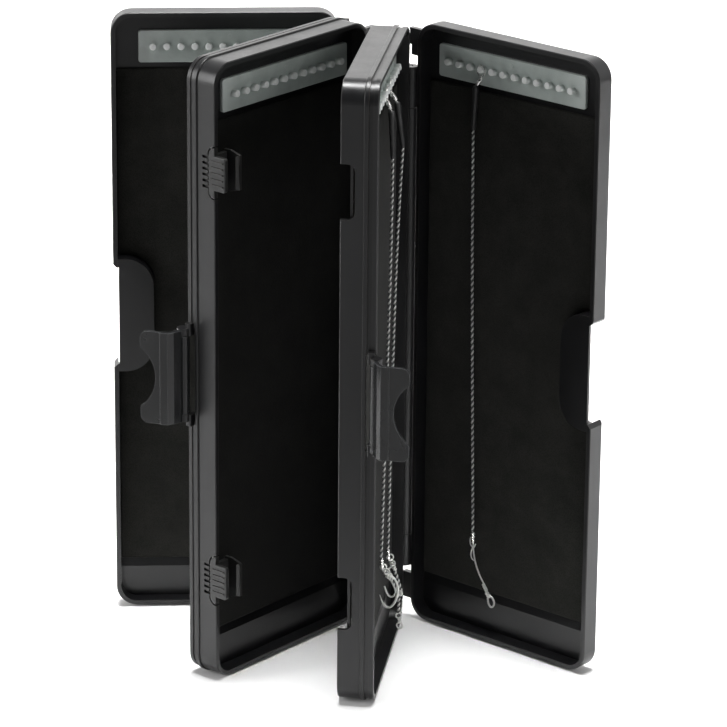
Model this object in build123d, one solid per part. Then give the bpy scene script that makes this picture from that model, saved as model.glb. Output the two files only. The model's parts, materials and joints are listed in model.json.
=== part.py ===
from build123d import *
import math
import os

# ---------------------------------------------------------------- driving dimensions (mm)
H = 345.0            # height of every leaf, standing on its end
W = 123.0            # spine wall to free edge
R = 11.5             # outer corner radius of a leaf
TL = 11.5            # thickness of an outer lid
TT = 20.0            # thickness of a tray
E = 4.0              # hinge axis beyond the spine wall
RIM = 0.15           # each rim stands this far behind its closing plane
WALL = 2.5
LIP = 0.8            # the tray's lip stands this proud all round
ZC = H / 2

LID_FLOOR = 9.9      # depth of a lid's floor below its closing plane
SH_FLOOR = 8.3       # tray: floor of the side that a lid closes
DP_FLOOR = 10.1      # tray: the other floor, measured from the same plane
JOIN = 5.3           # tray: where the rim frame meets the main moulding
FOAM_T = 2.0
FOAM_Z0, FOAM_Z1 = 25.4, 311.6

STRIP_U0, STRIP_U1 = 9.0, 108.0
STRIP_Z0, STRIP_Z1 = 315.0, 333.0
STRIP_T = 2.0
PEG_N, PEG_PITCH, PEG_R, PEG_L, PEG_TILT = 12, 7.55, 1.9, 3.7, 8.0
PEG_Z = 324.4
PEG_U0 = (STRIP_U0 + STRIP_U1) / 2 - PEG_PITCH * (PEG_N - 1) / 2

KR = 3.8             # hinge barrel radius
PIN_R, PIN_FIX, PIN_RUN = 1.3, 1.31, 1.35
Z_K1 = (30.6, 49.0)          # lower knuckle of the turning leaf
Z_BAR = (49.4, 296.6)        # long barrel of the carrying leaf
Z_K2 = (297.0, 319.6)        # upper knuckle of the turning leaf
Z_TAB_LOW = (10.5, 25.7)     # guard tabs of the turning leaf, with a narrow step next to the hinge
Z_TAB_TOP = (325.8, 340.5)
TAB_STEP = 5.7

CLIP_H = 25.8                # half height of a thumb clip
CLIP_U, CLIP_S, CLIP_R = W + 3.0, -0.3, 3.4   # clip axis and barrel radius
CLIP_BAR_H = 21.9            # half height of the clip's own barrel
EAR_H = (22.3, 26.2)         # ears of the tray that hold the pin, above and below the barrel
SEAT_H = 26.8                # half height of the seat cut into the tray's free wall
CLIP_PIN_R = 1.0
CLIP_KNEE = -3.0             # the clip's corner, from the free wall's face
CLIP_WING = 14.6
GAP_H = 28.0                 # half height of the gap in a lid's free wall
GAP_IN = 3.1
DEE_H, DEE_IN, DEE_R = 31.0, 20.5, 14.0
DEE_ROOF = (0.9, 2.5)

LATCH_Z = (ZC + 114.5, ZC - 114.5)
LATCH_H, LATCH_S0 = 14.6, 14.9
LATCH_U, LATCH_S = W - 1.3, 16.7
LATCH_PIN_R = 0.6

ANG_C, ANG_B, ANG_A, ANG_D = -90.0, -122.6, -168.9, -32.4   # direction of each leaf, spine to free edge
CLIP_OPEN_B, CLIP_OPEN_C = 114.0, 97.0

ORIGIN = (-25.3335, -57.052, 0.0)     # centre of the standing footprint, in the plan of tray C

os.makedirs("parts", exist_ok=True)


# ---------------------------------------------------------------- leaf frame: X = spine to free edge, Y = depth, Z = height
def P(face, s0, s1):
    """A prism of a face drawn in (u, z), from depth s0 to s1."""
    return extrude(Plane.XZ.offset(-s1) * face, s1 - s0)


def Q(face, u0, u1):
    """A prism of a face drawn in (s, z), from u0 to u1."""
    return extrude(Plane.YZ.offset(u0) * face, u1 - u0)


def T(face, z0, z1):
    """A prism of a face drawn in (u, s), from z0 to z1."""
    return extrude(Plane.XY.offset(z0) * face, z1 - z0)


def rect(a0, a1, b0, b1):
    return Pos((a0 + a1) / 2, (b0 + b1) / 2) * Rectangle(a1 - a0, b1 - b0)


def rrect(a0, a1, b0, b1, r):
    return Pos((a0 + a1) / 2, (b0 + b1) / 2) * RectangleRounded(a1 - a0, b1 - b0, r)


def outline(inset):
    return rrect(inset, W - inset, inset, H - inset, R - inset)


def one(shape):
    s = shape.solids()
    return s[0] if len(s) == 1 else Compound(children=list(s))


def rod(u, s, r, z0, z1):
    return Pos(u, s, z0) * Cylinder(r, z1 - z0, align=(Align.CENTER, Align.CENTER, Align.MIN))


def dee(grow, u_out):
    """The D-shaped finger recess: straight at the free edge, two large corners inside."""
    f = rect(W - DEE_IN - grow, u_out, ZC - DEE_H - grow, ZC + DEE_H + grow)
    f = fillet(f.vertices().sort_by(Axis.X)[:2], DEE_R + grow)
    return f


# ---------------------------------------------------------------- hinge parts
def turning_knuckles():
    """Two knuckles with webs and two guard tabs, to add to the leaf that turns on the pins. Its closing plane is Y = 0, its body at Y > 0."""
    out = []
    for z0, z1 in (Z_K1, Z_K2):
        k = rod(-E, 0, KR, z0, z1) + T(rect(-E, WALL - 0.5, 0.6, 2.9), z0, z1)
        out.append(k)
    for (z0, z1), step0, step1 in ((Z_TAB_LOW, Z_TAB_LOW[1] - TAB_STEP, Z_TAB_LOW[1]), (Z_TAB_TOP, Z_TAB_TOP[0], Z_TAB_TOP[0] + TAB_STEP)):
        wide = (z0, step0) if step1 == z1 else (step1, z1)
        near = -4.3 if step1 != z1 else -5.8
        k = T(rrect(near, R * 0.55, 0.4, 3.4, 0.5), step0, step1) + T(rrect(-5.8, R * 0.55, 0.4, 3.4, 0.5), wide[0], wide[1])
        out.append(k - P(outline(WALL - 0.2), -1, TL))
    return out


def turning_bores():
    return [rod(-E, 0, PIN_RUN, z0 - 0.5, z1 + 0.5) for z0, z1 in (Z_K1, Z_K2)]


def carrying_barrel():
    z0, z1 = Z_BAR
    return rod(-E, 0, KR, z0, z1) + T(rect(-E, WALL - 0.5, 0.6, 2.9), z0, z1)


def carrying_bores():
    return [rod(-E, 0, PIN_FIX, Z_BAR[0] - 1, 77.5), rod(-E, 0, PIN_FIX, 267.5, Z_BAR[1] + 1)]


def hinge_pins():
    a = rod(-E, 0, PIN_R, Z_K1[0] + 0.3, 77.3)
    b = rod(-E, 0, PIN_R, 267.7, Z_K2[1] - 0.3)
    return [chamfer(x.edges(), 0.3) for x in (a, b)]


# ---------------------------------------------------------------- lid (outer leaf)
def lid():
    body = P(outline(0), RIM, TL)
    back = body.faces().sort_by(Axis.Y)[-1]
    body = fillet(back.edges(), 1.8)
    front = body.faces().sort_by(Axis.Y)[0]
    body = chamfer(front.edges(), 0.45)
    cavity = P(outline(WALL), -1, LID_FLOOR)
    shell = body - cavity
    # raised foot panel with a sloping top edge
    foot = P(rect(WALL - 0.5, W - WALL + 0.5, WALL - 0.5, 24.8), LID_FLOOR - 1.3, LID_FLOOR + 0.2)
    ramp = Q(make_face(Polyline((LID_FLOOR - 1.4, 19.8), (LID_FLOOR - 1.4, 25.2), (LID_FLOOR, 25.2), close=True)), 0, W)
    foot = (foot - ramp) & P(outline(WALL - 0.3), 0, TL)
    shell = shell + foot
    # finger recess, open to the back and to the free edge
    roof = P(dee(1.6, W - 0.6), DEE_ROOF[0], TL - 0.2) & body
    shell = shell + roof
    shell = shell - P(dee(0, W - WALL), DEE_ROOF[1], TL + 1)
    gap = rect(W - GAP_IN, W + 2, ZC - GAP_H, ZC + GAP_H)
    shell = shell - P(gap, -1, TL + 1)
    # sloping ends of the gap in the free wall
    for sgn in (-1, 1):
        tri = make_face(Polyline((W - 2.2, ZC + sgn * (GAP_H - 0.1)), (W + 0.5, ZC + sgn * (GAP_H - 0.1)), (W + 0.5, ZC + sgn * (GAP_H + 2.6)), close=True))
        shell = shell - P(tri, -1, TL + 1)
    for k in turning_knuckles():
        shell = shell + k
    for b in turning_bores():
        shell = shell - b
    return one(shell)


def lid_foam():
    f = P(rrect(WALL + 0.3, W - WALL - 0.3, FOAM_Z0, FOAM_Z1, 1.2), LID_FLOOR - FOAM_T, LID_FLOOR)
    f = f - P(dee(2.0, W + 2), LID_FLOOR - FOAM_T - 1, LID_FLOOR + 1)
    return one(f)


# ---------------------------------------------------------------- peg strip on a floor at depth s
def peg_strip(s):
    plate = P(rrect(STRIP_U0, STRIP_U1, STRIP_Z0, STRIP_Z1, 1.6), s - STRIP_T, s)
    face = plate.faces().sort_by(Axis.Y)[0]
    plate = chamfer(face.edges(), 0.35)
    t = math.radians(PEG_TILT)
    for i in range(PEG_N):
        u = PEG_U0 + i * PEG_PITCH
        peg = Cylinder(PEG_R, PEG_L + 1.25, align=(Align.CENTER, Align.CENTER, Align.MIN))
        peg = fillet(peg.edges().sort_by(Axis.Z)[-1], 0.7)
        pl = Plane(origin=(u, s - STRIP_T + 1.25, PEG_Z - 0.5), x_dir=(1, 0, 0), z_dir=(0, -math.cos(t), math.sin(t)))
        plate = plate + pl.location * peg
    plate = plate + Pos((STRIP_U0 + STRIP_U1) / 2, s - STRIP_T + 0.2, STRIP_Z1 - 3.4) * Rot(90, 0, 0) * Cylinder(1.1, 1.0)
    plate = plate - P(rect(-5, W + 5, 300, 345), s, s + 5)
    return one(plate)


# ---------------------------------------------------------------- tray: main moulding and rim frame. Y = 0 is the side that a lid closes
def tray_main(latches):
    body = P(outline(0), JOIN, TT - RIM)
    front = body.faces().sort_by(Axis.Y)[-1]
    body = chamfer(front.edges(), 0.45)
    lip = P(rrect(-LIP, W + LIP, -LIP, H + LIP, R + LIP), JOIN, JOIN + 2.5)
    lip = fillet(lip.edges().filter_by(Plane.XZ).group_by(Axis.Y)[-1], 0.6)
    body = body + lip
    shell = body - P(outline(WALL), -1, SH_FLOOR) - P(outline(WALL), DP_FLOOR, TT + 1)
    for side in (0, 1):
        f, d = (SH_FLOOR, -1) if side == 0 else (DP_FLOOR, 1)
        foot = P(rect(WALL - 0.5, W - WALL + 0.5, WALL - 0.5, 20.4), min(f, f + 1.3 * d) - (0.2 if d > 0 else 0), max(f, f + 1.3 * d) + (0.2 if d < 0 else 0))
        wedge = Q(make_face(Polyline((f - 0.1 * d, 20.3), (f - 0.1 * d, 24.8), (f + 1.3 * d, 20.3), close=True)), WALL - 0.4, W - WALL + 0.4)
        shell = shell + ((foot + wedge) & P(outline(WALL - 0.3), -1, TT + 1))
    # seat of the thumb clip
    shell = shell - P(rect(W - 4.6, W + 3, ZC - SEAT_H, ZC + SEAT_H), -1, JOIN + 0.5)
    if latches == "press":
        for z in LATCH_Z:
            d = rect(LATCH_S0, TT + 2, z - LATCH_H, z + LATCH_H)
            d = fillet(d.vertices().sort_by(Axis.X)[:2], 4.7)
            shell = shell - Q(d, W - WALL - 0.6, W + 3)
            shell = shell - rod(LATCH_U, LATCH_S, LATCH_PIN_R + 0.01, z - LATCH_H - 1.6, z + LATCH_H + 1.6)
            for i in range(6):
                zz = z + 8.0 - 3.2 * i
                shell = shell - Q(rrect(LATCH_S0 - 3.7, LATCH_S0 + 0.9, zz - 0.75, zz + 0.75, 0.4), W - 1.6, W + 1)
    else:
        for z in LATCH_Z:
            d = rect(TT - 7.9, TT + 2, z - LATCH_H - 0.4, z + LATCH_H + 0.4)
            d = fillet(d.vertices().sort_by(Axis.X)[:2], 4.4)
            shell = shell - Q(d, W - WALL - 0.6, W + 3)
            # ledge that the latch hooks behind: a bar that bridges the notch
            ledge = T(rect(W - 9.3, W - 3.5, 13.6, 15.0), z - 17.5, z + 17.5)
            for y0, y1 in ((z - 17.5, z - LATCH_H - 0.6), (z + LATCH_H + 0.6, z + 17.5)):
                ledge = ledge + T(rect(W - 9.3, W - WALL + 0.6, 13.6, 15.0), y0, y1)
            shell = shell + ledge
    return shell


def tray_frame():
    ring = P(outline(0), RIM, 2.8) + P(outline(0.5), 2.7, JOIN)
    front = ring.faces().sort_by(Axis.Y)[0]
    ring = chamfer(front.edges(), 0.45)
    ring = ring - P(outline(WALL), -1, JOIN + 1)
    ring = ring - P(rect(W - 4.6, W + 3, ZC - SEAT_H, ZC + SEAT_H), -1, JOIN + 1)
    # ears that hold the clip's pin, each on a stem that grows out of the free wall
    for sgn in (-1, 1):
        z0, z1 = sorted((ZC + sgn * EAR_H[0], ZC + sgn * EAR_H[1]))
        y0, y1 = sorted((ZC + sgn * EAR_H[0], ZC + sgn * (SEAT_H + 2.0)))
        ear = rod(CLIP_U, CLIP_S, CLIP_R - 0.1, z0, z1)
        stem = T(rrect(W - 2.3, CLIP_U, 0.9, 4.4, 0.8), y0, y1)
        ring = ring + ear + stem
    ring = ring - rod(CLIP_U, CLIP_S, CLIP_PIN_R + 0.01, ZC - EAR_H[1] + 0.8, ZC + EAR_H[1] - 0.8)
    return ring


def lid_side_foam():
    return one(P(rrect(WALL + 0.3, W - WALL - 0.3, FOAM_Z0, FOAM_Z1, 1.2), SH_FLOOR - FOAM_T, SH_FLOOR))


def mate_side_foam(notched):
    f = P(rrect(WALL + 0.3, W - WALL - 0.3, FOAM_Z0, FOAM_Z1, 1.2), DP_FLOOR, DP_FLOOR + FOAM_T)
    if notched:
        for z in LATCH_Z:
            f = f - P(rect(W - 14.0, W + 2, z - 13.5, z + 13.5), DP_FLOOR - 1, DP_FLOOR + FOAM_T + 1)
    return one(f)


def turned(shape, axis_y):
    """Turns a canonical piece over, front to back, about the plane Y = axis_y."""
    return mirror(shape, about=Plane(origin=(0, axis_y, 0), z_dir=(0, 1, 0)))


# ---------------------------------------------------------------- thumb clip, drawn closed, then swung open
def thumb_clip():
    knee = W + CLIP_KNEE
    tip = knee - CLIP_WING
    c = rod(CLIP_U, CLIP_S, CLIP_R, ZC - CLIP_BAR_H, ZC + CLIP_BAR_H)
    # sloping plate from the barrel into the gap of the lid's free wall
    plate = make_face(Polyline((CLIP_U - 0.6, CLIP_S - 1.2), (CLIP_U + 1.6, CLIP_S - 1.6), (W + 3.2, -5.2), (W + 0.6, -8.9),
                               (knee + 0.9, -TL), (knee - 1.2, -TL), (knee - 1.2, -TL + 1.5), (knee + 0.1, -TL + 1.8), (W - 0.9, -7.4), (W + 0.5, -4.6), close=True))
    c = c + T(plate, ZC - CLIP_H, ZC + CLIP_H)
    # wing with a round thumb notch between two lobes
    wing = rect(tip, knee, ZC - CLIP_H, ZC + CLIP_H)
    wing = fillet(wing.vertices().sort_by(Axis.X)[:2], 4.2)
    wing = wing - Pos(tip - 11.8, ZC) * Circle(20.3)
    half = math.sqrt(20.3 ** 2 - 11.8 ** 2)
    cusps = [v for v in wing.vertices() if abs(v.X - tip) < 0.05 and abs(abs(v.Y - ZC) - half) < 0.4]
    if cusps:
        wing = fillet(cusps, 1.8)
    wing = P(wing, -TL + 0.55, -TL + 2.1)
    # raised band across the wing's root
    band = T(rrect(knee - 3.6, knee + 0.7, -TL, -TL + 1.6, 0.5), ZC - CLIP_H, ZC + CLIP_H)
    bead = T(rrect(W - 3.9, W + 1.2, -4.5, -2.85, 0.7), ZC - CLIP_H + 4, ZC + CLIP_H - 4)
    c = c + wing + band + bead
    # room for the tray's ears at both ends
    for z0, z1 in ((ZC - CLIP_H - 1, ZC - CLIP_BAR_H), (ZC + CLIP_BAR_H, ZC + CLIP_H + 1)):
        c = c - rod(CLIP_U, CLIP_S, CLIP_R + 0.45, z0, z1)
    c = c - rod(CLIP_U, CLIP_S, CLIP_PIN_R + 0.05, ZC - CLIP_H - 1, ZC + CLIP_H + 1)
    return one(c)


def clip_pin():
    return rod(CLIP_U, CLIP_S, CLIP_PIN_R, ZC - EAR_H[1] + 0.9, ZC + EAR_H[1] - 0.9)


def swing(shape, deg):
    return Pos(CLIP_U, CLIP_S, 0) * Rot(0, 0, deg) * Pos(-CLIP_U, -CLIP_S, 0) * shape


# ---------------------------------------------------------------- press latch
def press_latch(z):
    d = rect(LATCH_S0 + 0.7, TT - 0.2, z - LATCH_H + 0.9, z + LATCH_H - 0.9)
    d = fillet(d.vertices().sort_by(Axis.X)[:2], 3.9)
    b = Q(d, W - 2.5, W + 0.25)
    b = fillet([e for e in b.edges() if abs(e.center().X - (W + 0.25)) < 1e-3], 0.4)
    # tongue that reaches over into the notch of the other tray
    t = Q(rrect(TT - 3.0, 27.2, z - 9.4, z + 9.4, 1.6), W - 2.0, W + 0.25)
    t = fillet([e for e in t.edges() if abs(e.center().X - (W + 0.25)) < 1e-3], 0.5)
    b = b + t
    arm = T(rect(W - 11.2, W - 2.2, 17.6, TT - 0.2), z - 10, z + 10)
    tab = Q(make_face(Polyline((17.6, z - 11.2), (22.0, z - 11.2), (28.6, z - 9.4), (28.6, z + 9.4), (22.0, z + 11.2), (17.6, z + 11.2), close=True)), W - 11.2, W - 9.7)
    barb = T(make_face(Polyline((W - 9.9, 26.9), (W - 8.4, 26.9), (W - 9.9, 28.3), close=True)), z - 8.8, z + 8.8)
    b = b + arm + tab + barb
    # plain raised bars in the middle of the button
    for i in range(5):
        zz = z + 6.4 - 3.2 * i
        b = b + Q(rrect(LATCH_S0 + 2.6, 26.0, zz - 0.55, zz + 0.55, 0.5), W, W + 0.75)
    b = b - rod(LATCH_U, LATCH_S, LATCH_PIN_R + 0.05, z - 20, z + 20)
    return one(b)


def latch_pins():
    return [rod(LATCH_U, LATCH_S, LATCH_PIN_R, z - LATCH_H - 1.4, z + LATCH_H + 1.4) for z in LATCH_Z]


# ---------------------------------------------------------------- wire traces that hang on the pegs
def tube(points, r, name):
    """A tube of straight runs and tangent arcs through a route."""
    pts = [Vector(*p) for p in points]
    if len(pts) == 2:
        path = Line(pts[0], pts[1])
    else:
        radii = []
        for a, b, c in zip(pts, pts[1:], pts[2:]):
            turn = (b - a).get_angle(c - b)
            radii.append(0.45 * min((b - a).length, (c - b).length) / math.tan(math.radians(turn) / 2))
        print(name, "radii", [round(x, 1) for x in radii], "in diameters", round(min(radii) / (2 * r), 1))
        path = FilletPolyline(*pts, radius=radii)
    d = (pts[1] - pts[0]).normalized()
    solid = sweep(Plane(origin=pts[0], z_dir=d) * Circle(r), path=path)
    print(name, "length", round(path.length, 1), "volume ratio", round(solid.volume / (math.pi * r * r * path.length), 4))
    return solid


def ring(u, s, z, big, small, nu, ns, nz):
    return Plane(origin=(u, s, z), z_dir=(nu, ns, nz)).location * Torus(big, small)


def sleeve(a, b, r0, r1, clear=0.12):
    va, vb = Vector(*a), Vector(*b)
    d = (vb - va).normalized()
    va, vb = va + d * clear, vb - d * clear
    d = (vb - va)
    pl = Plane(origin=va, z_dir=d.normalized())
    if r0 == r1:
        c = Cylinder(r0, d.length, align=(Align.CENTER, Align.CENTER, Align.MIN))
    else:
        c = Cone(r0, r1, d.length, align=(Align.CENTER, Align.CENTER, Align.MIN))
    return pl.location * c


def swivel(peg_u, s_floor, z_end, s_end, u_end):
    """Ring over the peg, then a small barrel that ends at the sleeve."""
    s_peg = s_floor - STRIP_T - 2.2
    top = ring(peg_u, s_peg, 324.2, 2.75, 0.45, 0, 1, 0.0)
    a = Vector(peg_u, s_peg, 321.65)
    b = Vector(u_end, s_end, z_end + 0.3)
    d = (b - a)
    pl = Plane(origin=a, z_dir=d.normalized())
    barrel = pl.location * Cylinder(1.15, d.length, align=(Align.CENTER, Align.CENTER, Align.MIN))
    barrel = fillet(barrel.edges(), 0.4)
    return one(top + barrel)


# ================================================================ placing
def rz(a):
    return math.radians(a)


def axis_add(o, d, a):
    return (o[0] + d * math.cos(rz(a)), o[1] + d * math.sin(rz(a)))


OC = (0.0, 0.0)
AX_CD = axis_add(OC, -E, ANG_C)
OD = axis_add(AX_CD, E, ANG_D)
AX_BC = (AX_CD[0] - TT, AX_CD[1])
OB = axis_add(AX_BC, E, ANG_B)
AX_AB = (AX_BC[0] + TT * math.sin(rz(ANG_B)), AX_BC[1] - TT * math.cos(rz(ANG_B)))
OA = axis_add(AX_AB, E, ANG_A)


def place(o, a):
    return Pos(o[0] - ORIGIN[0], o[1] - ORIGIN[1], LIP) * Rot(0, 0, a)


LOC = {"A": place(OA, ANG_A), "B": place(OB, ANG_B), "C": place(OC, ANG_C), "D": place(OD, ANG_D)}
for nm, ax in (("AB", AX_AB), ("BC", AX_BC), ("CD", AX_CD)):
    print("axis", nm, round(ax[0] - ORIGIN[0], 4), round(ax[1] - ORIGIN[1], 4))


# canonical to leaf: D keeps Y = +s; A and C are turned over (Y = -s); B is shifted so that its lid side lies at Y = -TT
def on_a(shape):
    return LOC["A"] * turned(shape, 0)


def on_b(shape):
    return LOC["B"] * (Pos(0, -TT, 0) * shape)


def on_c(shape):
    return LOC["C"] * turned(shape, 0)


def on_d(shape):
    return LOC["D"] * shape


out = {}

lid_shape, foam_shape, lid_strip = lid(), lid_foam(), peg_strip(LID_FLOOR)
out["lid_a_shell"] = on_a(lid_shape)
out["lid_d_shell"] = on_d(lid_shape)
out["lid_a_foam"] = on_a(foam_shape)
out["lid_d_foam"] = on_d(foam_shape)
out["lid_a_peg_strip"] = on_a(lid_strip)
out["lid_d_peg_strip"] = on_d(lid_strip)

# tray C carries the barrels of both of its hinges; tray B carries the one that lid A turns on, and turns on tray C
c_main, b_main, frame = tray_main("catch"), tray_main("press"), tray_frame()
bar = carrying_barrel() - P(rect(-20, W, -10, H + 10), JOIN, 40)
c_frame = frame + bar
b_frame = frame + bar
for b in carrying_bores():
    c_frame = c_frame - b
    b_frame = b_frame - b
mate_bar = turned(carrying_barrel(), TT / 2)
c_main = c_main + mate_bar
for b in carrying_bores():
    c_main = c_main - turned(b, TT / 2)
for k in turning_knuckles():
    b_main = b_main + turned(k, TT / 2)
for b in turning_bores():
    b_main = b_main - turned(b, TT / 2)
out["tray_c_shell"] = on_c(one(c_main))
out["tray_c_rim_frame"] = on_c(one(c_frame))
out["tray_b_shell"] = on_b(one(b_main))
out["tray_b_rim_frame"] = on_b(one(b_frame))

sh_foam, sh_strip = lid_side_foam(), peg_strip(SH_FLOOR)
dp_strip = turned(peg_strip(TT - DP_FLOOR), TT / 2)
out["tray_b_left_foam"] = on_b(sh_foam)
out["tray_b_right_foam"] = on_b(mate_side_foam(False))
out["tray_c_left_foam"] = on_c(mate_side_foam(True))
out["tray_c_right_foam"] = on_c(sh_foam)
out["tray_b_left_peg_strip"] = on_b(sh_strip)
out["tray_b_right_peg_strip"] = on_b(dp_strip)
out["tray_c_left_peg_strip"] = on_c(dp_strip)
out["tray_c_right_peg_strip"] = on_c(sh_strip)

pins = hinge_pins()
out["hinge_pins_ab"] = Compound(children=[on_b(p) for p in pins])
out["hinge_pins_bc"] = Compound(children=[on_c(turned(p, TT / 2)) for p in pins])
out["hinge_pins_cd"] = Compound(children=[on_c(p) for p in pins])

clip = thumb_clip()
out["thumb_clip_b"] = on_b(swing(clip, CLIP_OPEN_B))
out["thumb_clip_c"] = on_c(swing(clip, CLIP_OPEN_C))
out["clip_pin_b"] = on_b(clip_pin())
out["clip_pin_c"] = on_c(clip_pin())
out["press_latch_upper"] = on_b(press_latch(LATCH_Z[0]))
out["press_latch_lower"] = on_b(press_latch(LATCH_Z[1]))
out["latch_pins"] = Compound(children=[on_b(p) for p in latch_pins()])

# ---- traces. Routes are given in the leaf's own (u, s, z)
TRACES = {
    # name: (leaf, floor, peg index, sleeve top, sleeve bottom, wire route, crimp end, hook route)
    "d": (on_d, LID_FLOOR, 3,
          (36.9, 5.0, 315.0), (35.1, 5.6, 290.0),
          [(35.1, 5.6, 290.0), (35.3, 5.9, 244.0), (36.1, 6.05, 198.0), (37.1, 6.1, 152.0), (38.3, 6.1, 106.0), (39.5, 6.05, 60.0)],
          (39.8, 6.0, 52.8),
          [(39.8, 6.0, 52.8), (40.6, 5.8, 44.5), (43.5, 5.7, 36.0), (47.7, 5.7, 28.3), (51.5, 5.7, 23.8)]),
    "c1": (on_c, SH_FLOOR, 6,
           (62.3, 1.7, 313.5), (62.2, 0.7, 287.5),
           [(62.2, 0.7, 287.5), (62.1, 0.95, 243.0), (62.0, 1.8, 198.0), (62.1, 2.8, 152.0), (62.3, 3.6, 106.0), (62.6, 4.5, 61.0)],
           (62.6, 3.9, 54.0),
           [(62.6, 3.7, 53.4), (62.6, -2.9, 47.8), (62.4, -3.9, 39.0), (62.2, 0.6, 31.8), (62.0, 4.4, 37.4)]),
    "c2": (on_c, SH_FLOOR, 4,
           (47.2, 0.7, 314.0), (47.2, -2.7, 289.0),
           [(47.2, -2.7, 289.0), (47.1, -1.2, 262.0), (47.1, 0.4, 217.0), (47.2, 1.4, 168.0), (47.3, 2.1, 115.0), (47.5, 2.85, 60.0)],
           (47.5, 2.4, 53.0),
           [(47.5, 2.4, 53.0), (47.3, -0.9, 46.5), (47.0, -4.2, 40.6), (46.6, -6.7, 34.6)]),
}
SLEEVE_R0, SLEEVE_R1, WIRE_R, CRIMP_R, HOOK_R = 1.75, 1.25, 0.85, 1.3, 0.65
for key, (on, floor, i, s_top, s_bot, route, crimp, hook) in TRACES.items():
    u = PEG_U0 + i * PEG_PITCH
    out[f"trace_{key}_swivel"] = on(swivel(u, floor, s_top[2], s_top[1], s_top[0]))
    out[f"trace_{key}_sleeve"] = on(sleeve(s_top, s_bot, SLEEVE_R0, SLEEVE_R1))
    out[f"trace_{key}_wire"] = on(tube(route, WIRE_R, key + " wire"))
    out[f"trace_{key}_crimp"] = on(sleeve(route[-1], crimp, CRIMP_R, CRIMP_R))
    out[f"trace_{key}_hook"] = on(tube(hook, HOOK_R, key + " hook"))

if __name__ == "__main__":
    lo, hi = [1e9] * 3, [-1e9] * 3
    for name, shape in out.items():
        export_step(shape, f"parts/{name}.step")
        if not name.startswith("trace_"):
            b = shape.bounding_box()
            lo = [min(a, c) for a, c in zip(lo, (b.min.X, b.min.Y, b.min.Z))]
            hi = [max(a, c) for a, c in zip(hi, (b.max.X, b.max.Y, b.max.Z))]
    print("box", [round(x, 3) for x in lo], [round(x, 3) for x in hi], "centre", round((lo[0] + hi[0]) / 2, 3), round((lo[1] + hi[1]) / 2, 3))
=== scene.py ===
import json
import math

import bmesh
import bpy
from mathutils import Matrix, Vector, noise


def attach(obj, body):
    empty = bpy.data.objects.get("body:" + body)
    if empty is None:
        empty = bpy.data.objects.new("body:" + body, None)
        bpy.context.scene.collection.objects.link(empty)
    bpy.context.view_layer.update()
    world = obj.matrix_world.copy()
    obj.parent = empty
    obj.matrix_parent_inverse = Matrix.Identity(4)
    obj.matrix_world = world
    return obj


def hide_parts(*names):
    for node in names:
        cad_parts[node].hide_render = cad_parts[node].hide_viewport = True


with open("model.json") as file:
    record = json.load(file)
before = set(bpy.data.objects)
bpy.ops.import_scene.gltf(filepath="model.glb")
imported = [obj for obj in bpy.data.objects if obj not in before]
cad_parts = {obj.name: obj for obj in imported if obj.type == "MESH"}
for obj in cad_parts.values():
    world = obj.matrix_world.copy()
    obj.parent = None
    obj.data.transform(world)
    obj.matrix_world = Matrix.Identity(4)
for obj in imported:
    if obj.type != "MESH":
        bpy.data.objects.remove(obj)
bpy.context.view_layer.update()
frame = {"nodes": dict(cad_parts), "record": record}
scene = bpy.context.scene
MM = 0.001

# ---------------------------------------------------------------- dimensions shared with the construction (mm)
H, W, TT, E, LIP = 345.0, 123.0, 20.0, 4.0, 0.8
ZC = H / 2
WALL = 2.5
LID_FLOOR, SH_FLOOR, DP_FLOOR, FOAM_T = 9.9, 8.3, 10.1, 2.0
FOAM_Z0, FOAM_Z1 = 25.4, 311.6
PEG_N, PEG_PITCH = 12, 7.55
PEG_U0 = 58.5 - PEG_PITCH * (PEG_N - 1) / 2
DEE_H, DEE_IN, DEE_R = 31.0, 20.5, 14.0
LATCH_Z = (ZC + 114.5, ZC - 114.5)
ORIGIN = (-25.3335, -57.052)
ANG = {"A": -168.9, "B": -122.6, "C": -90.0, "D": -32.4}


def along(o, d, a):
    return (o[0] + d * math.cos(math.radians(a)), o[1] + d * math.sin(math.radians(a)))


O_C = (0.0, 0.0)
AX_CD = along(O_C, -E, ANG["C"])
O_D = along(AX_CD, E, ANG["D"])
AX_BC = (AX_CD[0] - TT, AX_CD[1])
O_B = along(AX_BC, E, ANG["B"])
AX_AB = (AX_BC[0] + TT * math.sin(math.radians(ANG["B"])), AX_BC[1] - TT * math.cos(math.radians(ANG["B"])))
O_A = along(AX_AB, E, ANG["A"])
LEAF = {"A": (O_A, -1, 0.0), "B": (O_B, 1, -TT), "C": (O_C, -1, 0.0), "D": (O_D, 1, 0.0)}


def at(k, u, s, z):
    """Leaf k's own (u from the spine, s depth, z height) in mm, as a point of the row frame in metres."""
    (ox, oy), sign, shift = LEAF[k]
    a = math.radians(ANG[k])
    w = sign * s + shift
    x = ox + u * math.cos(a) - w * math.sin(a) - ORIGIN[0]
    y = oy + u * math.sin(a) + w * math.cos(a) - ORIGIN[1]
    return Vector((x * MM, y * MM, (z + LIP) * MM))


# ---------------------------------------------------------------- camera
cam_data = bpy.data.cameras.new("camera")
cam = bpy.data.objects.new("camera", cam_data)
scene.collection.objects.link(cam)
cam_data.sensor_width = 36.0
cam_data.lens = 212.9324
cam_data.clip_start, cam_data.clip_end = 0.05, 60.0
cam.location = (0.30276, -2.1478, 0.95461)
cam.rotation_mode = "XYZ"
look = Matrix.Rotation(math.radians(7.7783), 4, "Z") @ Matrix.Rotation(math.radians(90 - 19.8725), 4, "X") @ Matrix.Rotation(math.radians(0.5113), 4, "Z")
cam.rotation_euler = look.to_euler("XYZ")
scene.camera = cam


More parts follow.
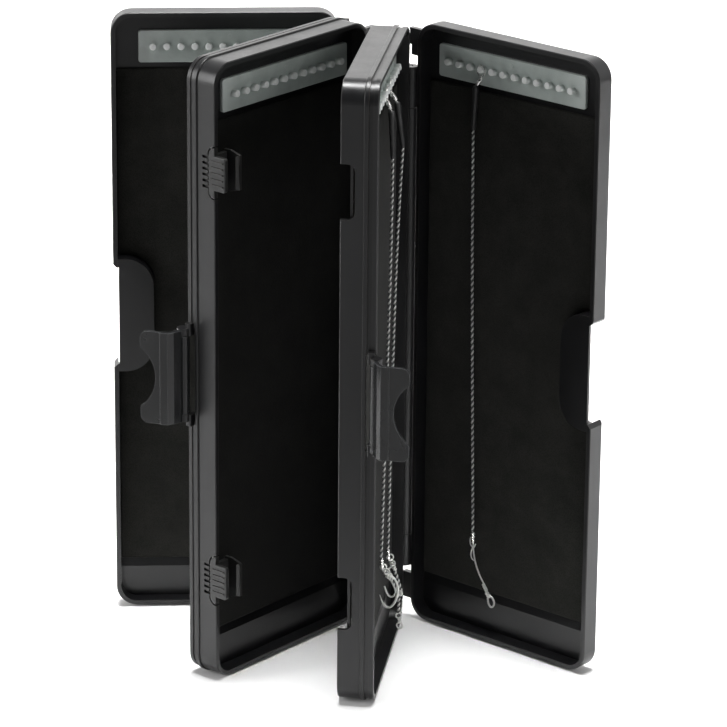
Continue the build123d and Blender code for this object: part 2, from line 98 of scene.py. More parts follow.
# ---------------------------------------------------------------- mesh helpers
def finish_mesh(name, bm, mats, smooth=40.0):
    bmesh.ops.remove_doubles(bm, verts=bm.verts, dist=1e-7)
    bmesh.ops.recalc_face_normals(bm, faces=bm.faces)
    me = bpy.data.meshes.new(name)
    bm.to_mesh(me)
    bm.free()
    ob = bpy.data.objects.new(name, me)
    scene.collection.objects.link(ob)
    for m in mats if isinstance(mats, (list, tuple)) else [mats]:
        me.materials.append(m)
    me.polygons.foreach_set("use_smooth", [True] * len(me.polygons))
    if smooth is not None:
        me.set_sharp_from_angle(angle=math.radians(smooth))
    return ob


def frames_along(pts):
    """Tangents and turn-free normals along a polyline."""
    n = len(pts)
    tans = []
    for i in range(n):
        a, b = pts[max(i - 1, 0)], pts[min(i + 1, n - 1)]
        tans.append((b - a).normalized())
    ref = Vector((0, 0, 1)) if abs(tans[0].z) < 0.9 else Vector((1, 0, 0))
    nor = (ref - tans[0] * ref.dot(tans[0])).normalized()
    out = []
    for i in range(n):
        if i:
            nor = (nor - tans[i] * nor.dot(tans[i])).normalized()
        out.append((tans[i], nor, tans[i].cross(nor)))
    return out


def add_tube(bm, pts, radius, segs=10, closed=False, mat=0):
    """radius is a number or a function of the share along the path."""
    fr = frames_along(pts)
    if closed:
        # spread the twist that is left at the closure
        t0, n0, b0 = fr[0]
        t1, n1, b1 = fr[-1]
        off = math.atan2(n1.dot(b0), n1.dot(n0))
    rings = []
    n = len(pts)
    for i, (p, (t, nr, bn)) in enumerate(zip(pts, fr)):
        r = radius(i / max(n - 1, 1)) if callable(radius) else radius
        ring = []
        for j in range(segs):
            a = 2 * math.pi * j / segs
            if closed:
                a -= off * i / n
            ring.append(bm.verts.new(p + nr * (math.cos(a) * r) + bn * (math.sin(a) * r)))
        rings.append(ring)
    m = n if closed else n - 1
    for i in range(m):
        a, b = rings[i], rings[(i + 1) % n]
        for j in range(segs):
            f = bm.faces.new((a[j], a[(j + 1) % segs], b[(j + 1) % segs], b[j]))
            f.material_index = mat
    if not closed:
        for ring, flip in ((rings[0], True), (rings[-1], False)):
            f = bm.faces.new(list(reversed(ring)) if flip else ring)
            f.material_index = mat


def add_lathe(bm, origin, axis, profile, segs=20, mat=0):
    """profile: (distance along the axis, radius) pairs; ends of radius 0 close the form."""
    axis = axis.normalized()
    ref = Vector((1, 0, 0)) if abs(axis.x) < 0.8 else Vector((0, 1, 0))
    nr = (ref - axis * ref.dot(axis)).normalized()
    bn = axis.cross(nr)
    rings = []
    for d, r in profile:
        c = origin + axis * d
        if r <= 1e-9:
            rings.append([bm.verts.new(c)])
        else:
            rings.append([bm.verts.new(c + nr * (math.cos(2 * math.pi * j / segs) * r) + bn * (math.sin(2 * math.pi * j / segs) * r)) for j in range(segs)])
    for a, b in zip(rings, rings[1:]):
        for j in range(segs):
            k = (j + 1) % segs
            if len(a) == 1:
                f = bm.faces.new((a[0], b[k], b[j]))
            elif len(b) == 1:
                f = bm.faces.new((a[j], a[k], b[0]))
            else:
                f = bm.faces.new((a[j], a[k], b[k], b[j]))
            f.material_index = mat


def smooth_path(ctrl, per=8, closed=False):
    """A Catmull-Rom line through small fittings' points."""
    pts = [Vector(p) for p in ctrl]
    n = len(pts)
    out = []
    spans = n if closed else n - 1
    for i in range(spans):
        if closed:
            p0, p1, p2, p3 = pts[(i - 1) % n], pts[i], pts[(i + 1) % n], pts[(i + 2) % n]
        else:
            p1, p2 = pts[i], pts[i + 1]
            p0 = pts[i - 1] if i else p1 + (p1 - p2)
            p3 = pts[i + 2] if i + 2 < n else p2 + (p2 - p1)
        for j in range(per):
            t = j / per
            out.append(0.5 * ((2 * p1) + (p2 - p0) * t + (2 * p0 - 5 * p1 + 4 * p2 - p3) * t * t + (3 * p1 - p0 - 3 * p2 + p3) * t ** 3))
    if not closed:
        out.append(pts[-1])
    return out


def route_line(name, ctrl):
    """The smooth line of a route: one open quadratic NURBS through its control points."""
    cu = bpy.data.curves.new(name, "CURVE")
    cu.dimensions = "3D"
    sp = cu.splines.new("NURBS")
    sp.points.add(len(ctrl) - 1)
    for p, c in zip(sp.points, ctrl):
        p.co = (c.x, c.y, c.z, 1.0)
    sp.use_endpoint_u = True
    sp.order_u = 3
    sp.resolution_u = 40
    ob = bpy.data.objects.new(name, cu)
    me = bpy.data.meshes.new_from_object(ob)
    pts = [v.co.copy() for v in me.vertices]
    bpy.data.meshes.remove(me)
    bpy.data.objects.remove(ob)
    bpy.data.curves.remove(cu)
    return pts


def spaced(pts, step):
    out, left = [pts[0].copy()], step
    for a, b in zip(pts, pts[1:]):
        d = (b - a).length
        pos = 0.0
        while d - pos >= left:
            pos += left
            out.append(a.lerp(b, pos / d))
            left = step
        left -= d - pos
    if (out[-1] - pts[-1]).length > step * 0.3:
        out.append(pts[-1].copy())
    else:
        out[-1] = pts[-1].copy()
    return out


# ---------------------------------------------------------------- material helpers
class Mat:
    def __init__(self, name):
        self.m = bpy.data.materials.new(name)
        self.m.use_nodes = True
        self.t = self.m.node_tree
        self.t.nodes.clear()
        self.out = self.t.nodes.new("ShaderNodeOutputMaterial")
        self.b = self.t.nodes.new("ShaderNodeBsdfPrincipled")
        self.t.links.new(self.b.outputs[0], self.out.inputs["Surface"])
        self.co = self.t.nodes.new("ShaderNodeTexCoord").outputs["Object"]

    def n(self, kind, **kw):
        node = self.t.nodes.new("ShaderNode" + kind)
        for k, v in kw.items():
            setattr(node, k, v)
        return node

    def link(self, a, b):
        self.t.links.new(a, b)

    def set(self, **kw):
        for k, v in kw.items():
            self.b.inputs[k.replace("_", " ")].default_value = v

    def mapped(self, scale):
        mp = self.n("Mapping")
        mp.inputs["Scale"].default_value = scale
        self.link(self.co, mp.inputs["Vector"])
        return mp.outputs[0]

    def noise(self, scale, detail=3.0, rough=0.55, vec=None, distortion=0.0):
        nz = self.n("TexNoise")
        nz.inputs["Scale"].default_value = scale
        nz.inputs["Detail"].default_value = detail
        nz.inputs["Roughness"].default_value = rough
        nz.inputs["Distortion"].default_value = distortion
        self.link(vec if vec is not None else self.co, nz.inputs["Vector"])
        return nz.outputs["Fac"]

    def ramp(self, fac, stops, interpolation="LINEAR"):
        r = self.n("ValToRGB")
        r.color_ramp.interpolation = interpolation
        els = r.color_ramp.elements
        while len(els) > 1:
            els.remove(els[-1])
        for i, (pos, col) in enumerate(stops):
            e = els[0] if i == 0 else els.new(pos)
            e.position = pos
            e.color = (*col, 1.0) if len(col) == 3 else col
        self.link(fac, r.inputs["Fac"])
        return r.outputs["Color"]

    def rng(self, fac, a, b, c, d):
        m = self.n("MapRange")
        for i, v in zip(("From Min", "From Max", "To Min", "To Max"), (a, b, c, d)):
            m.inputs[i].default_value = v
        self.link(fac, m.inputs["Value"])
        return m.outputs[0]

    def math(self, op, a, b=None, clamp=False):
        m = self.n("Math", operation=op, use_clamp=clamp)
        for i, v in enumerate((a, b)):
            if v is None:
                continue
            if isinstance(v, (int, float)):
                m.inputs[i].default_value = v
            else:
                self.link(v, m.inputs[i])
        return m.outputs[0]

    def mix(self, fac, a, b):
        m = self.n("Mix", data_type="RGBA")
        for sock, v in ((m.inputs["Factor"], fac), (m.inputs[6], a), (m.inputs[7], b)):
            if isinstance(v, (int, float)):
                sock.default_value = v
            elif isinstance(v, tuple):
                sock.default_value = (*v, 1.0)
            else:
                self.link(v, sock)
        return m.outputs[2]

    def bump(self, height, strength, distance, normal=None):
        bp = self.n("Bump")
        bp.inputs["Strength"].default_value = strength
        bp.inputs["Distance"].default_value = distance
        self.link(height, bp.inputs["Height"])
        if normal is not None:
            self.link(normal, bp.inputs["Normal"])
        return bp.outputs[0]

    def edge(self, radius, gain):
        """1 on sharp outer edges, 0 on flat faces."""
        bv = self.n("Bevel", samples=6)
        bv.inputs["Radius"].default_value = radius
        ge = self.n("NewGeometry")
        dt = self.n("VectorMath", operation="DOT_PRODUCT")
        self.link(bv.outputs[0], dt.inputs[0])
        self.link(ge.outputs["Normal"], dt.inputs[1])
        inv = self.math("SUBTRACT", 1.0, dt.outputs["Value"])
        return self.math("MULTIPLY", inv, gain, clamp=True)


def moulded_plastic(name, dark, light, rough, streak=0.35, edge_wear_and_highlight_col=(0.048, 0.043, 0.037), edge_gain=1.6, grain=0.10):
    m = Mat(name)
    broad = m.noise(26.0, 4.0, 0.6)
    col = m.ramp(broad, [(0.30, dark), (0.72, light)])
    fine = m.noise(900.0, 2.0, 0.5)
    speck = m.ramp(fine, [(0.70, (0, 0, 0)), (0.86, (1, 1, 1))])
    col = m.mix(m.math("MULTIPLY", speck, 0.10), col, tuple(min(1.0, c * 3.0) for c in light))
    # edge line: rubbed edges and painted edge highlight, a lighter colour along sharp edges in patches
    edge = m.edge(0.0007, edge_gain)
    patchy = m.rng(m.noise(60.0, 2.0, 0.5), 0.3, 0.7, 0.70, 1.0)
    rubbed_edge_and_highlight = m.math("MULTIPLY", edge, patchy, clamp=True)
    col = m.mix(rubbed_edge_and_highlight, col, edge_wear_and_highlight_col)
    m.link(col, m.b.inputs["Base Color"])
    drawn = m.noise(1.0, 3.0, 0.6, vec=m.mapped((420.0, 420.0, 9.0)))
    r = m.rng(m.noise(60.0, 4.0, 0.65), 0.3, 0.7, rough - 0.035, rough + 0.045)
    r = m.math("ADD", r, m.math("MULTIPLY", m.math("SUBTRACT", drawn, 0.5), 0.10))
    m.link(r, m.b.inputs["Roughness"])
    nrm = m.bump(m.noise(2600.0, 1.0, 0.5), grain, 0.00006)
    nrm = m.bump(drawn, streak, 0.00010, nrm)
    m.link(nrm, m.b.inputs["Normal"])
    m.b.inputs["IOR"].default_value = 1.5
    return m.m


def foam_material(name, tone):
    m = Mat(name)
    cells = m.n("TexVoronoi", feature="F1")
    cells.inputs["Scale"].default_value = 1500.0
    m.link(m.co, cells.inputs["Vector"])
    mottle = m.noise(55.0, 5.0, 0.65)
    # tone scales the whole colour; the lighter and darker foam copies use it as painted light and painted shade
    col = m.ramp(mottle, [(0.28, (0.0105 * tone, 0.0105 * tone, 0.0094 * tone)), (0.74, (0.0190 * tone, 0.0189 * tone, 0.0168 * tone))])
    pore = m.ramp(cells.outputs["Distance"], [(0.10, (0.55, 0.55, 0.55)), (0.55, (1.12, 1.12, 1.12))])
    mul = m.n("Mix", data_type="RGBA", blend_type="MULTIPLY")
    mul.inputs["Factor"].default_value = 1.0
    m.link(col, mul.inputs[6])
    m.link(pore, mul.inputs[7])
    lint = m.ramp(m.noise(700.0, 2.0, 0.6), [(0.735, (0, 0, 0)), (0.80, (1, 1, 1))])
    col = m.mix(m.math("MULTIPLY", lint, 0.30), mul.outputs[2], (0.07, 0.07, 0.066))
    m.link(col, m.b.inputs["Base Color"])
    m.set(Roughness=0.93, Sheen_Weight=0.05, Sheen_Roughness=0.5, Specular_IOR_Level=0.12)
    nrm = m.bump(cells.outputs["Distance"], 0.45, 0.00012)
    nrm = m.bump(m.noise(240.0, 3.0, 0.6), 0.35, 0.00016, nrm)
    m.link(nrm, m.b.inputs["Normal"])
    return m.m


def frosted_plastic(name, origin, out, side, u0=9.0, u1=108.0):
    """origin: a point of the plate's face at the spine side, out: the way its pegs point, side: the way from spine to free edge."""
    m = Mat(name)
    mott = m.noise(90.0, 4.0, 0.6)
    col = m.ramp(mott, [(0.25, (0.42, 0.47, 0.45)), (0.75, (0.55, 0.60, 0.575))])
    rel = m.n("VectorMath", operation="SUBTRACT")
    rel.inputs[1].default_value = origin
    m.link(m.co, rel.inputs[0])
    up = m.n("VectorMath", operation="DOT_PRODUCT")
    up.inputs[1].default_value = out
    m.link(rel.outputs[0], up.inputs[0])
    along_u = m.n("VectorMath", operation="DOT_PRODUCT")
    along_u.inputs[1].default_value = side
    m.link(rel.outputs[0], along_u.inputs[0])
    # painted light: the plate's colour turns lighter towards its ends, standing in for light gathered in the frosted
    # plastic
    ends = m.rng(m.math("ABSOLUTE", m.math("SUBTRACT", along_u.outputs["Value"], (u1 - u0) / 2 * MM)), (u1 - u0) * 0.36 * MM, (u1 - u0) * 0.5 * MM, 0.0, 0.55)
    col = m.mix(ends, col, (0.70, 0.74, 0.72))
    # painted highlight: the pegs' colour turns near-white with height off the plate, for their lit tips
    peg = m.rng(up.outputs["Value"], 0.4 * MM, 2.6 * MM, 0.0, 1.0)
    col = m.mix(peg, col, (0.93, 0.96, 0.94))
    # painted highlight: lighter colour along the plate's sharp edges
    edge = m.edge(0.0007, 1.2)
    col = m.mix(edge, col, (0.72, 0.75, 0.73))
    m.link(col, m.b.inputs["Base Color"])
    m.set(Roughness=0.40 if name.startswith("tray") else 0.34, Subsurface_Weight=0.45, Subsurface_Scale=0.0016, IOR=1.49)
    m.b.inputs["Subsurface Radius"].default_value = (1.0, 1.0, 1.0)
    nrm = m.bump(m.noise(1800.0, 2.0, 0.6), 0.22, 0.00008)
    nrm = m.bump(m.noise(70.0, 2.0, 0.5), 0.25, 0.0004, nrm)
    m.link(nrm, m.b.inputs["Normal"])
    return m.m


def bright_metal(name, col, rough, scale=900.0, metal=1.0):
    m = Mat(name)
    tone = m.ramp(m.noise(scale * 0.3, 4.0, 0.6), [(0.25, tuple(c * 0.72 for c in col)), (0.72, col)])
    m.link(tone, m.b.inputs["Base Color"])
    m.set(Metallic=metal)
    m.link(m.rng(m.noise(scale, 3.0, 0.6), 0.3, 0.7, rough * 0.7, rough * 1.4), m.b.inputs["Roughness"])
    m.link(m.bump(m.noise(scale * 1.7, 2.0, 0.5), 0.15, 0.00004), m.b.inputs["Normal"])
    return m.m


def sleeve_rubber():
    m = Mat("sleeve_rubber")
    col = m.ramp(m.noise(200.0, 4.0, 0.6), [(0.3, (0.012, 0.012, 0.012)), (0.75, (0.030, 0.030, 0.031))])
    m.link(col, m.b.inputs["Base Color"])
    m.link(m.rng(m.noise(500.0, 3.0, 0.6), 0.3, 0.7, 0.42, 0.58), m.b.inputs["Roughness"])
    m.link(m.bump(m.noise(1.0, 2.0, 0.5, vec=m.mapped((700.0, 700.0, 120.0))), 0.25, 0.00008), m.b.inputs["Normal"])
    return m.m


M_SHELL = moulded_plastic("shell_plastic", (0.0055, 0.0056, 0.0062), (0.0095, 0.0095, 0.0104), 0.33, streak=0.12, grain=0.07)
M_CLIP = moulded_plastic("clip_plastic", (0.0090, 0.0094, 0.0100), (0.0160, 0.0165, 0.0172), 0.22, streak=0.15, edge_wear_and_highlight_col=(0.16, 0.165, 0.17), edge_gain=3.0, grain=0.05)
M_LATCH = moulded_plastic("latch_plastic", (0.0120, 0.0122, 0.0120), (0.0200, 0.0204, 0.0200), 0.32, streak=0.10, grain=0.16)
# painted light and shade: the lid pads get a lighter copy of the foam and tray B's pads a darker copy, for how the
# light falls on each leaf
M_FOAM = foam_material("foam", 1.1)
M_FOAM_LIDS_PAINTED_LIGHTER = foam_material("foam_lids_painted_lighter", 1.45)
M_FOAM_B_PAINTED_SHADE = foam_material("foam_tray", 0.62)
M_PIN = bright_metal("pin_steel", (0.58, 0.58, 0.59), 0.30)
M_WIRE = bright_metal("trace_metal", (0.88, 0.87, 0.85), 0.22, 1600.0, 0.85)
M_WIRE_DARK = bright_metal("trace_metal_dark", (0.16, 0.16, 0.16), 0.34, 1600.0)
M_STRAND = bright_metal("trace_metal_pale", (0.90, 0.90, 0.87), 0.34, 1600.0, 0.35)
M_SLEEVE = sleeve_rubber()

SLOT_MAT = {"shell_plastic": M_SHELL, "clip_plastic": M_CLIP, "latch_plastic": M_LATCH, "foam": M_FOAM,
            "pin_steel": M_PIN, "trace_metal": M_WIRE, "sleeve_rubber": M_SLEEVE}
for part in frame["record"]["subparts"]:
    node = frame["nodes"][part["node"]]
    node.data.materials.clear()
    if part["material_slot"] == "peg_plastic":
        k, face, out = {"lid_a_peg_strip": ("A", LID_FLOOR - 2.0, -1), "lid_d_peg_strip": ("D", LID_FLOOR - 2.0, -1),
                        "tray_b_left_peg_strip": ("B", SH_FLOOR - 2.0, -1), "tray_c_right_peg_strip": ("C", SH_FLOOR - 2.0, -1),
                        "tray_b_right_peg_strip": ("B", DP_FLOOR + 2.0, 1), "tray_c_left_peg_strip": ("C", DP_FLOOR + 2.0, 1)}[part["node"]]
        o = at(k, 9.0, face, 324.0)
        mat = frosted_plastic(part["node"] + "_plastic", tuple(o), tuple((at(k, 9.0, face + out, 324.0) - o).normalized()), tuple((at(k, 10.0, face, 324.0) - o).normalized()))
        node.data.materials.append(mat)
        continue
    node.data.materials.append(SLOT_MAT[part["material_slot"]])


# ---------------------------------------------------------------- wire traces
BODY = {"A": "lid_a", "B": "tray_b", "C": "tray_c", "D": "lid_d"}
TRACES = {
    # leaf, floor, peg, sleeve top, sleeve bottom, wire route, crimp end: the leaf's own (u, s, z) in mm
    "d": ("D", LID_FLOOR, 3, (36.9, 5.0, 315.0), (35.1, 5.6, 290.0),
          [(35.1, 5.6, 290.0), (35.3, 5.9, 244.0), (36.1, 6.05, 198.0), (37.1, 6.1, 152.0), (38.3, 6.1, 106.0), (39.5, 6.05, 60.0)],
          (39.8, 6.0, 52.8)),
    "c1": ("C", SH_FLOOR, 6, (62.3, 1.7, 313.5), (62.2, 0.7, 287.5),
           [(62.2, 0.7, 287.5), (62.1, 0.95, 243.0), (62.0, 1.8, 198.0), (62.1, 2.8, 152.0), (62.3, 3.6, 106.0), (62.6, 4.5, 61.0)],
           (62.6, 3.9, 54.0)),
    "c2": ("C", SH_FLOOR, 4, (47.2, 0.7, 314.0), (47.2, -2.7, 289.0),
           [(47.2, -2.7, 289.0), (47.1, -1.2, 262.0), (47.1, 0.4, 217.0), (47.2, 1.4, 168.0), (47.3, 2.1, 115.0), (47.5, 2.85, 60.0)],
           (47.5, 2.4, 53.0)),
}
WIRE_R = 0.85 * MM


def twisted(name, line, total_r, pitch, mats):
    """Two strands laid round each other along a line. The second strand is the darker one."""
    step = pitch / 10
    pts = spaced(line, step)
    fr = frames_along(pts)
    bm = bmesh.new()
    sr = total_r * 0.58
    off = total_r - sr
    for k in range(2):
        path = []
        for i, (p, (t, nr, bn)) in enumerate(zip(pts, fr)):
            a = 2 * math.pi * i * step / pitch + math.pi * k
            path.append(p + nr * (math.cos(a) * off) + bn * (math.sin(a) * off))
        add_tube(bm, path, sr, 8, mat=k)
    return finish_mesh(name, bm, mats, None)


HOOKS = {}
for key, (leaf, floor, i, top, bottom, route, crimp) in TRACES.items():
    body = BODY[leaf]
    u_peg = PEG_U0 + PEG_PITCH * i
    s_peg = floor - 2.0 - 2.2
    # sleeve
    a, b = at(leaf, *top), at(leaf, *bottom)
    ax = (b - a).normalized()
    ln = (b - a).length
    bm = bmesh.new()
    prof = [(0.0, 0.0), (0.0, 0.95 * MM), (0.10 * MM, 1.30 * MM), (0.55 * MM, 1.62 * MM), (1.4 * MM, 1.74 * MM)]
    for j in range(1, 12):
        t = j / 12
        prof.append((1.4 * MM + (ln - 2.6 * MM) * t, (1.74 - 0.46 * t + 0.05 * math.sin(t * math.pi * 5)) * MM))
    prof += [(ln - 0.9 * MM, 1.25 * MM), (ln - 0.35 * MM, 1.16 * MM), (ln - 0.05 * MM, 0.95 * MM), (ln - 0.05 * MM, 0.0)]
    add_lathe(bm, a, ax, prof, 24)
    sleeve = finish_mesh(f"trace_{key}_sleeve_v", bm, M_SLEEVE, 50)
    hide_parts(f"trace_{key}_sleeve")
    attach(sleeve, body)
    # snap over the peg, its wraps, and the swivel's barrel with both eyes
    bm = bmesh.new()
    d = 1 if key == "d" else -1
    loop = [(u_peg - 0.6, s_peg + 0.3, 320.3), (u_peg - 2.2, s_peg + 0.1, 322.0), (u_peg - 2.6, s_peg, 324.3), (u_peg - 1.6, s_peg - 0.1, 326.2),
            (u_peg + 0.1, s_peg - 0.15, 326.9), (u_peg + 1.8, s_peg - 0.1, 326.1), (u_peg + 2.6, s_peg, 324.2), (u_peg + 2.0, s_peg + 0.1, 321.9), (u_peg + 0.5, s_peg + 0.2, 320.2)]
    add_tube(bm, smooth_path([at(leaf, *p) for p in loop], 6), 0.34 * MM, 8)
    wraps = []
    for j in range(46):
        t = j / 45
        an = t * 2 * math.pi * 3.2
        wraps.append(at(leaf, u_peg + 0.72 * math.cos(an), s_peg + 0.2 + 0.72 * math.sin(an), 320.8 - 1.9 * t))
    add_tube(bm, wraps, 0.30 * MM, 7)
    c_top, c_bot = at(leaf, u_peg, s_peg + 0.15, 319.4), a
    sw = (c_bot - c_top)
    sl = sw.length
    add_lathe(bm, c_top, sw, [(0.0, 0.0), (0.0, 0.42 * MM), (0.5 * MM, 0.55 * MM), (0.9 * MM, 0.98 * MM), (1.4 * MM, 1.18 * MM), (sl * 0.5, 1.24 * MM),
                              (sl - 1.3 * MM, 1.16 * MM), (sl - 0.8 * MM, 0.92 * MM), (sl - 0.4 * MM, 0.5 * MM), (sl + 0.2 * MM, 0.45 * MM), (sl + 0.2 * MM, 0.0)], 18)
    swivel = finish_mesh(f"trace_{key}_swivel_v", bm, M_WIRE, 40)
    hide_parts(f"trace_{key}_swivel")
    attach(swivel, body)
    # the wire itself
    ctrl = [at(leaf, *p) for p in route]
    line = route_line(f"route_{key}", ctrl)
    wire = twisted(f"trace_{key}_wire_v", line, WIRE_R, 3.3 * MM, [M_STRAND, M_WIRE_DARK])
    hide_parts(f"trace_{key}_wire")
    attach(wire, body)
    HOOKS[key] = (leaf, line, wire, sleeve, swivel, crimp, ctrl[0])


def crimp_piece(key):
    leaf, line, wire, sleeve, swivel, crimp, start = HOOKS[key]
    a, b = line[-1], at(leaf, *crimp)
    ax = b - a
    ln = ax.length
    bm = bmesh.new()
    add_lathe(bm, a, ax, [(-0.2 * MM, 0.0), (-0.2 * MM, 0.60 * MM), (0.2 * MM, 0.98 * MM), (1.3 * MM, 1.18 * MM), (ln * 0.5, 0.90 * MM), (ln - 1.3 * MM, 1.18 * MM), (ln - 0.2 * MM, 0.98 * MM), (ln, 0.6 * MM), (ln, 0.0)], 18)
    fr = frames_along([a, b])[0]
    for k in range(3):
        ring = []
        c = a + ax * ((k + 1) / 4)
        for j in range(22):
            an = 2 * math.pi * j / 21 * 1.05
            ring.append(c + fr[1] * (math.cos(an) * 1.05 * MM) + fr[2] * (math.sin(an) * 1.05 * MM) + ax.normalized() * (0.5 * MM * (j / 21 - 0.5)))
        add_tube(bm, ring, 0.24 * MM, 6)
    ob = finish_mesh(f"trace_{key}_crimp_v", bm, M_WIRE, 40)
    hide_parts(f"trace_{key}_crimp")
    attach(ob, BODY[leaf])
    return ob


def eye(bm, k, c, r, wire, tilt=0.0):
    """A small closed ring round c, in the plane of u and z, turned by tilt about z."""
    pts = []
    for j in range(20):
        an = 2 * math.pi * j / 20
        pts.append(at(k, c[0] + r * math.cos(an) * math.cos(tilt), c[1] + r * math.cos(an) * math.sin(tilt), c[2] + r * math.sin(an)))
    add_tube(bm, pts, wire, 8, closed=True)


def taper(r, tip=0.10):
    return lambda t: r * (1.0 if t < 0.78 else max(tip, 1.0 - (t - 0.78) / 0.22 * (1 - tip)))


def spiral(bm, k, a, b, r, wire, turns):
    pts = []
    n = int(turns * 14)
    for j in range(n + 1):
        t = j / n
        an = 2 * math.pi * turns * t
        c = [a[i] + (b[i] - a[i]) * t for i in range(3)]
        pts.append(at(k, c[0] + r * math.cos(an), c[1] + r * math.sin(an), c[2]))
    add_tube(bm, pts, wire, 7)


def fittings(key):
    leaf = HOOKS[key][0]
    bm = bmesh.new()
    if key == "d":
        add_tube(bm, smooth_path([at(leaf, *p) for p in [(39.8, 6.0, 53.2), (40.4, 6.0, 47.0), (41.8, 6.2, 41.0), (44.2, 6.6, 35.0), (47.2, 6.7, 30.6), (50.0, 6.6, 27.4)]], 6), 0.46 * MM, 8)
        add_tube(bm, smooth_path([at(leaf, *p) for p in [(39.6, 6.0, 57.5), (38.0, 5.8, 55.0), (38.4, 5.7, 51.6), (40.6, 5.6, 50.4), (41.8, 5.8, 52.8)]], 5), 0.38 * MM, 7)
        add_tube(bm, smooth_path([at(leaf, *p) for p in [(39.6, 6.0, 50.5), (38.6, 5.8, 46.5), (39.4, 5.7, 43.6), (41.4, 5.8, 42.4)]], 5), taper(0.36 * MM), 7)
        spiral(bm, leaf, (47.4, 6.1, 30.4), (51.4, 6.0, 24.4), 0.62, 0.42 * MM, 7)
        spiral(bm, leaf, (50.2, 5.7, 26.2), (52.2, 5.7, 24.0), 0.95, 0.42 * MM, 2)
        pts = [(51.8, 5.5, 24.6), (54.2, 5.4, 24.4), (56.0, 5.2, 22.4), (55.9, 5.1, 20.0), (54.0, 5.2, 18.6), (52.2, 5.4, 19.8), (51.4, 5.6, 22.4)]
        add_tube(bm, smooth_path([at(leaf, *p) for p in pts], 6, closed=True), 0.55 * MM, 8, closed=True)
    elif key == "c1":
        # knot of loops at the end of the wire
        eye(bm, leaf, (62.6, 3.3, 55.4), 1.7, 0.42 * MM, 1.3)
        eye(bm, leaf, (62.6, 1.4, 52.8), 1.6, 0.42 * MM, 1.7)
        eye(bm, leaf, (62.6, 0.0, 50.4), 1.5, 0.42 * MM, 1.2)
        spiral(bm, leaf, (62.6, 3.6, 54.6), (62.4, 0.2, 48.6), 1.0, 0.44 * MM, 4)
        spiral(bm, leaf, (62.8, 2.4, 52.0), (62.6, -2.2, 49.0), 0.8, 0.40 * MM, 3)
        # a large single hook that hangs clear of the leaf
        add_tube(bm, smooth_path([at(leaf, *p) for p in [(62.6, 0.6, 51.2), (62.6, -2.6, 49.0), (62.5, -4.4, 45.4), (62.4, -4.7, 41.0), (62.3, -3.4, 35.6), (62.2, -0.8, 32.0), (62.2, 1.8, 32.0), (62.1, 3.8, 34.6), (62.0, 5.2, 38.6)]], 7), taper(0.68 * MM, 0.3), 10)
        add_tube(bm, smooth_path([at(leaf, *p) for p in [(62.3, 2.6, 44.0), (62.2, 1.4, 40.2), (62.2, -0.6, 38.0), (62.1, -2.6, 38.8), (62.1, -3.6, 41.6)]], 6), taper(0.54 * MM, 0.3), 8)
        # second shank, beside the first
        add_tube(bm, smooth_path([at(leaf, *p) for p in [(62.5, 1.4, 50.4), (62.4, -1.0, 47.2), (62.2, -2.8, 43.6), (62.0, -3.6, 40.4)]], 6), 0.46 * MM, 8)
    else:
        eye(bm, leaf, (47.5, 1.6, 55.0), 1.8, 0.42 * MM, 1.2)
        eye(bm, leaf, (47.5, 0.4, 51.6), 1.6, 0.42 * MM, 1.7)
        spiral(bm, leaf, (47.5, 2.2, 54.6), (47.3, -1.0, 47.8), 0.95, 0.44 * MM, 5)
        # two short leaders, each of two strands, one pale and one dark
        for a, b in (((47.3, -0.4, 49.0), (46.6, -4.7, 34.6)), ((47.8, 3.2, 46.4), (47.2, -3.2, 33.0))):
            line = [at(leaf, *[a[i] + (b[i] - a[i]) * t / 40 + (0.35 * math.sin(math.pi * t / 40) if i == 2 else 0.0) for i in range(3)]) for t in range(41)]
            fr = frames_along(line)
            for k in range(2):
                path = [p + nr * (math.cos(t * 0.85 + math.pi * k) * 0.46 * MM) + bn * (math.sin(t * 0.85 + math.pi * k) * 0.46 * MM) for t, (p, (_, nr, bn)) in enumerate(zip(line, fr))]
                add_tube(bm, path, 0.52 * MM, 8, mat=k)
        add_tube(bm, smooth_path([at(leaf, *p) for p in [(47.5, 0.6, 50.0), (47.7, 2.4, 48.2), (47.8, 3.6, 46.0)]], 5), 0.5 * MM, 8)
        spiral(bm, leaf, (46.8, -4.0, 36.0), (46.6, -4.7, 33.2), 0.6, 0.40 * MM, 4)
        eye(bm, leaf, (45.4, -4.3, 33.0), 1.2, 0.44 * MM, 0.5)
        # a short twisted piece with two small links below
        line = [at(leaf, 47.2 - 0.2 * t / 30, -3.5 + 0.2 * t / 30, 33.4 - 11.4 * t / 30) for t in range(31)]
        fr = frames_along(line)
        for k in range(2):
            path = [p + nr * (math.cos(t * 0.85 + math.pi * k) * 0.42 * MM) + bn * (math.sin(t * 0.85 + math.pi * k) * 0.42 * MM) for t, (p, (_, nr, bn)) in enumerate(zip(line, fr))]
            add_tube(bm, path, 0.48 * MM, 8, mat=k)
        eye(bm, leaf, (47.0, -3.4, 20.6), 1.5, 0.44 * MM, 1.2)
        spiral(bm, leaf, (47.0, -3.8, 19.4), (46.9, -4.0, 16.2), 0.75, 0.42 * MM, 3)
        eye(bm, leaf, (46.9, -4.0, 14.6), 1.7, 0.44 * MM, 1.7)
        add_tube(bm, smooth_path([at(leaf, *p) for p in [(45.6, -5.3, 30.0), (46.0, -5.1, 25.6), (46.6, -4.3, 21.6)]], 5), taper(0.40 * MM, 0.3), 7)
    ob = finish_mesh(f"trace_{key}_hook_v", bm, [M_STRAND, M_WIRE_DARK] if key == "c2" else M_STRAND, 40)
    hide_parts(f"trace_{key}_hook")
    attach(ob, BODY[leaf])
    return ob


for key in TRACES:
    leaf, line, wire, sleeve, swivel, crimp, start = HOOKS[key]
    c, h = crimp_piece(key), fittings(key)


